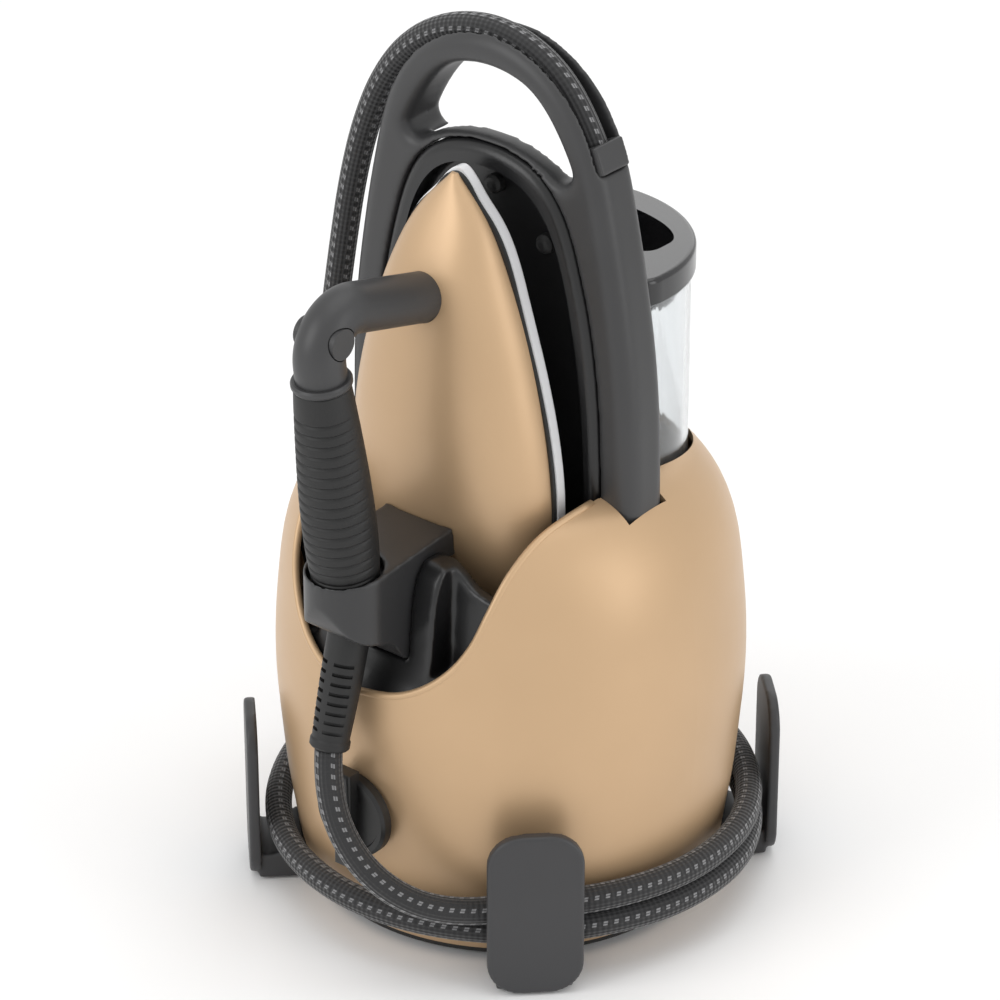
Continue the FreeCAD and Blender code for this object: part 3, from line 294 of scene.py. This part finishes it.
# ---------------------------------------------------------------- smooth copies and turned meshes
def soft_copy(name, label, material, voxel, passes):
    """A copy of a CAD node with its sharp edges softened, which stands for the node."""
    source = NODES[label]
    mesh = source.data.copy()
    obj = bpy.data.objects.new(name, mesh)
    bpy.context.scene.collection.objects.link(obj)
    remesh = obj.modifiers.new("remesh", "REMESH")
    remesh.mode = "VOXEL"
    remesh.voxel_size = voxel
    smooth = obj.modifiers.new("smooth", "SMOOTH")
    smooth.factor = 0.5
    smooth.iterations = passes
    graph = bpy.context.evaluated_depsgraph_get()
    finished = bpy.data.meshes.new_from_object(obj.evaluated_get(graph))
    bpy.data.objects.remove(obj)
    copy = new_object(name, finished, material, source["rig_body"])
    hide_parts(label)
    return copy


def grid(name, rows, closed_u, material, body, ends=False):
    """A mesh from rows of points; closed_u joins each row's end to its start."""
    work = bmesh.new()
    verts = [[work.verts.new(spot) for spot in row] for row in rows]
    count = len(rows[0])
    for low, high in zip(verts, verts[1:]):
        for k in range(count if closed_u else count - 1):
            work.faces.new((low[k], low[(k + 1) % count], high[(k + 1) % count], high[k]))
    if ends:
        work.faces.new(reversed(verts[0]))
        work.faces.new(verts[-1])
    bmesh.ops.recalc_face_normals(work, faces=work.faces)
    mesh = bpy.data.meshes.new(name)
    work.to_mesh(mesh)
    work.free()
    return new_object(name, mesh, material, body)


def smooth_values(stations, at):
    """Catmull-Rom interpolation of rows (key, a, b, ...) at a key; keys run down or up."""
    keys = [row[0] for row in stations]
    order = 1 if keys[-1] > keys[0] else -1
    i = 0
    while i < len(keys) - 2 and (at - keys[i + 1]) * order > 0:
        i += 1
    span = keys[i + 1] - keys[i]
    t = min(max((at - keys[i]) / span, 0.0), 1.0)
    result = []
    for column in range(1, len(stations[0])):
        value = [row[column] for row in stations]
        start = (value[i + 1] - value[i - 1]) / (keys[i + 1] - keys[i - 1]) if i else (value[1] - value[0]) / span
        if i + 2 < len(keys):
            end = (value[i + 2] - value[i]) / (keys[i + 2] - keys[i])
        else:
            end = (value[i + 1] - value[i]) / span
        a, b = value[i], value[i + 1]
        result.append((2 * t ** 3 - 3 * t * t + 1) * a + (t ** 3 - 2 * t * t + t) * span * start
                      + (3 * t * t - 2 * t ** 3) * b + (t ** 3 - t * t) * span * end)
    return result


# ---------------------------------------------------------------- the grip's rubber sleeve
GRIP_LEAN = math.radians(7.4)
GRIP_LENGTH = 104.0
GRIP_FOOT = (0, -129.5 + GRIP_LENGTH * math.sin(GRIP_LEAN), 302.6 - GRIP_LENGTH * math.cos(GRIP_LEAN))
SLEEVE = [(0, 15.4), (14, 16.5), (32, 16.9), (52, 16.4), (74, 15.2), (95, 13.7), (104, 12.9)]
GROOVES, FIRST_GROOVE, GROOVE_STEP, GROOVE_DEPTH = 17, 7.0, 5.2, 0.75


def on_grip(turn, reach, radius):
    """A point round the grip: turn from its front, reach up its axis, radius from it."""
    x, y = radius * math.sin(turn), -radius * math.cos(turn)
    lean_y = y * math.cos(GRIP_LEAN) - reach * math.sin(GRIP_LEAN)
    lean_z = y * math.sin(GRIP_LEAN) + reach * math.cos(GRIP_LEAN)
    return mm(GRIP_FOOT[0] + x, GRIP_FOOT[1] + lean_y, GRIP_FOOT[2] + lean_z)


def grip_sleeve():
    rows = []
    steps, sides = 416, 64
    for i in range(steps + 1):
        reach = GRIP_LENGTH * i / steps
        radius = smooth_values(SLEEVE, reach)[0]
        offset = (reach - FIRST_GROOVE) / GROOVE_STEP
        nearest = min(max(round(offset), 0), GROOVES - 1)
        cut = math.exp(-((offset - nearest) * GROOVE_STEP / 0.62) ** 2)
        row = []
        for k in range(sides):
            turn = 2 * math.pi * k / sides
            facing = min(max((math.cos(turn) + 0.25) / 0.6, 0.0), 1.0)
            fade = facing * facing * (3 - 2 * facing)
            rim = min(reach, GRIP_LENGTH - reach)
            round_off = 0.9 * max(0.0, 1 - rim / 0.9) ** 2
            row.append(on_grip(turn, reach, radius - GROOVE_DEPTH * cut * fade - round_off))
        rows.append(row)
    sleeve = grid("grooved_sleeve", rows, True, RUBBER, "iron", ends=True)
    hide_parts("grip_sleeve")


grip_sleeve()


# ---------------------------------------------------------------- the rolled lip of the scoop
# The housing's half outline (radius for a height) and the scoop's (half width for a height).
HOUSING = [(130, 111.4), (140, 111.2), (160, 109.4), (182, 106.2), (195, 102.2), (204.5, 97.4), (213, 91), (219.3, 84.5),
           (223.4, 77), (225.4, 70)]
SCOOP = [(0, 139), (20, 142.3), (34, 149), (45.5, 159.5), (53.5, 173), (58, 189), (60.8, 205), (64, 218),
         (69.5, 226.5)]
LIP_R, WALL = 1.9, 3.0


def scoop_lip():
    """A bead along the scoop's edge, from one arch leg round to the other."""
    half = []
    steps = 120
    for i in range(steps + 1):
        place = i * (len(SCOOP) - 1) / steps
        keys = [(k, *spot) for k, spot in enumerate(SCOOP)]
        x, z = smooth_values(keys, place)
        radius = smooth_values(HOUSING, z)[0] - WALL / 2 - 0.1
        if z > HOUSING[-1][0] or radius <= x or math.sqrt(radius * radius - x * x) < 22:
            break
        half.append((x, -math.sqrt(radius * radius - x * x), z))
    line = [mm(-x, y, z) for x, y, z in reversed(half[1:])] + [mm(*spot) for spot in half]
    new_object("scoop_lip", tube("scoop_lip", line, LIP_R * MM, 16), GOLD, "base")


scoop_lip()


# ---------------------------------------------------------------- moulded pieces with soft edges
SOFT = {"heel_bracket": (0.9, 8, BRACKET), "heel_saddle": (1.2, 10, PANEL_BLACK), "carry_arch": (1.4, 6, ARCH_GREY),
        "hook_front_right": (1.0, 5, HOOK_GREY), "hook_front_left": (1.0, 5, HOOK_GREY),
        "hook_back_right": (1.0, 5, HOOK_GREY), "hook_back_left": (1.0, 5, HOOK_GREY),
        "hose_collar": (0.8, 4, ARCH_GREY)}
for label, (voxel, passes, finish) in SOFT.items():
    soft_copy("soft_" + label, label, finish, voxel * MM, passes)


# ---------------------------------------------------------------- the steam hose
LOW_Z, HIGH_Z = 27.5, 40.8


def on_ring(angle, radius, height):
    return (radius * math.cos(math.radians(angle)), radius * math.sin(math.radians(angle)), height)


OVER_ARCH = [(54.6, -5.5, 383.5), (45.5, -5.5, 402.5), (26.5, -5.5, 422), (0, -5.5, 430.7), (-27, -5.5, 427),
             (-51, -5.7, 414), (-69, -6, 393), (-81, -7, 366), (-89, -8.2, 335), (-94.5, -9.5, 301),
             (-100, -10.5, 264), (-106.5, -10.5, 225), (-114, -7.5, 187), (-119.5, -1, 152)]
DOWN = [on_ring(175, 122, 119), on_ring(169, 126, 90), on_ring(161, 125.5, 65), on_ring(152.5, 119.6, 44.5),
        on_ring(140, 114.8, 31.5)]
LOWER_TURN = [on_ring(a, r, LOW_Z) for a, r in ((118, 115), (98, 115), (78, 115.5), (58, 116), (36, 117.5), (14, 121),
                                                (-8, 119.5), (-28, 116.2), (-48, 115), (-68, 115), (-88, 115),
                                                (-108, 114.5))]
CHANGE = [on_ring(-127, 114.5, 28.2), on_ring(-147, 114.3, 31), on_ring(-168, 114.2, 34.5), on_ring(-189, 114.2, 38)]
UPPER_TURN = [on_ring(a, r, HIGH_Z) for a, r in ((-210, 114.5), (-232, 114.5), (-254, 115), (-276, 115.2), (-298, 115.7),
                                                 (-320, 116.7), (-342, 119.5), (-364, 118.5), (-386, 115.8),
                                                 (-408, 114.8))]
TO_IRON = [(57, -107, 40.2), (40.5, -122.5, 47), (24.5, -133, 61.5), (11, -136.8, 81.5), (2.4, -134.2, 103.5)]
HOSE_END = (0, -130.15, 116.9)
ROUTE = [mm(*spot) for spot in OVER_ARCH + DOWN + LOWER_TURN + CHANGE + UPPER_TURN + TO_IRON + [HOSE_END]]


def braid():
    """Black braid with pairs of grey flecks in rows along the hose."""
    material, tree, bsdf = shader("hose_braid")
    coords = tree.nodes.new("ShaderNodeUVMap")
    split = tree.nodes.new("ShaderNodeSeparateXYZ")
    tree.links.new(coords.outputs["UV"], split.inputs["Vector"])

    def sums(kind, first, second):
        node = tree.nodes.new("ShaderNodeMath")
        node.operation = kind
        for socket, value in zip(node.inputs, (first, second)):
            if isinstance(value, (int, float)):
                socket.default_value = value
            elif value is not None:
                tree.links.new(value, socket)
        return node.outputs["Value"]

    across, along = split.outputs["X"], split.outputs["Y"]
    column = sums("MULTIPLY", across, 10.0)
    shift = sums("MULTIPLY", sums("MODULO", sums("FLOOR", column, None), 2.0), 0.5)
    row = sums("ADD", sums("MULTIPLY", along, 1 / 0.0052), shift)
    lean = sums("ADD", row, sums("MULTIPLY", sums("FRACT", column, None), 0.25))
    in_row = sums("ABSOLUTE", sums("SUBTRACT", sums("FRACT", lean, None), 0.5), None)
    in_column = sums("ABSOLUTE", sums("SUBTRACT", sums("FRACT", column, None), 0.5), None)
    short = sums("LESS_THAN", in_row, 0.2)
    narrow = sums("LESS_THAN", in_column, 0.24)
    gap = sums("GREATER_THAN", in_column, 0.035)
    pair = sums("LESS_THAN", sums("MODULO", sums("FLOOR", column, None), 2.0), 0.5)
    fleck = sums("MULTIPLY", sums("MULTIPLY", short, narrow), sums("MULTIPLY", gap, pair))
    mix = tree.nodes.new("ShaderNodeMix")
    mix.data_type = "RGBA"
    mix.inputs["A"].default_value = (0.012, 0.012, 0.013, 1)
    mix.inputs["B"].default_value = (0.2, 0.2, 0.205, 1)
    tree.links.new(fleck, mix.inputs["Factor"])
    tree.links.new(mix.outputs["Result"], bsdf.inputs["Base Color"])
    weave = sums("MULTIPLY", sums("SINE", sums("MULTIPLY", sums("ADD", column, row), 2 * math.pi), None),
                 sums("SINE", sums("MULTIPLY", sums("SUBTRACT", column, row), 2 * math.pi), None))
    bump = add(tree, "ShaderNodeBump", Strength=0.7, Distance=0.0004)
    tree.links.new(weave, bump.inputs["Height"])
    tree.links.new(bump.outputs["Normal"], bsdf.inputs["Normal"])
    bsdf.inputs["Roughness"].default_value = 0.7
    bsdf.inputs["Sheen Weight"].default_value = 0.25
    bsdf.inputs["Sheen Roughness"].default_value = 0.5
    return material


hose_line = centre_line("hose_route", ROUTE, 16)
HOSE_D = 13.0 * MM
hose = new_object("braided_hose", tube("braided_hose", hose_line, HOSE_D / 2, 24), braid(), None)
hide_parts("steam_hose")
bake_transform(hose)


# ---------------------------------------------------------------- floor and light
def area_light(name, spot, aim, width, height, power, colour=(1, 1, 1)):
    data = bpy.data.lights.new(name, "AREA")
    data.shape = "RECTANGLE"
    data.size = width
    data.size_y = height
    data.energy = power
    data.color = colour
    obj = bpy.data.objects.new(name, data)
    obj.location = spot
    obj.rotation_euler = (Vector(spot) - Vector(aim)).to_track_quat("Z", "Y").to_euler()
    bpy.context.scene.collection.objects.link(obj)


def backdrop():
    work = bmesh.new()
    half = 4.0
    corners = [work.verts.new((x, y, 0)) for x, y in ((-half, -half), (half, -half), (half, half), (-half, half))]
    work.faces.new(corners)
    mesh = bpy.data.meshes.new("floor")
    work.to_mesh(mesh)
    work.free()
    material, tree, bsdf = shader("pale_floor")
    two_tone(tree, bsdf, 3.0, (0.9, 0.9, 0.9), (0.92, 0.92, 0.92))
    bsdf.inputs["Roughness"].default_value = 0.8
    floor = bpy.data.objects.new("floor", mesh)
    floor.data.materials.append(material)
    bpy.context.scene.collection.objects.link(floor)


backdrop()
AIM = (0, 0, 0.2)
area_light("key", (-0.7, -1.8, 1.3), AIM, 1.1, 1.4, 13)
area_light("side", (1.9, 0.2, 0.8), AIM, 0.7, 1.6, 7)
area_light("top", (0.1, 0.2, 2.0), AIM, 1.6, 1.6, 8)
area_light("rear", (-0.8, 1.8, 1.2), AIM, 1.4, 1.2, 5)
world = bpy.data.worlds.new("studio")
world.use_nodes = True
world.node_tree.nodes["Background"].inputs["Color"].default_value = (1, 1, 1, 1)
world.node_tree.nodes["Background"].inputs["Strength"].default_value = 0.85
bpy.context.scene.world = world
bpy.context.scene.view_settings.view_transform = "Standard"
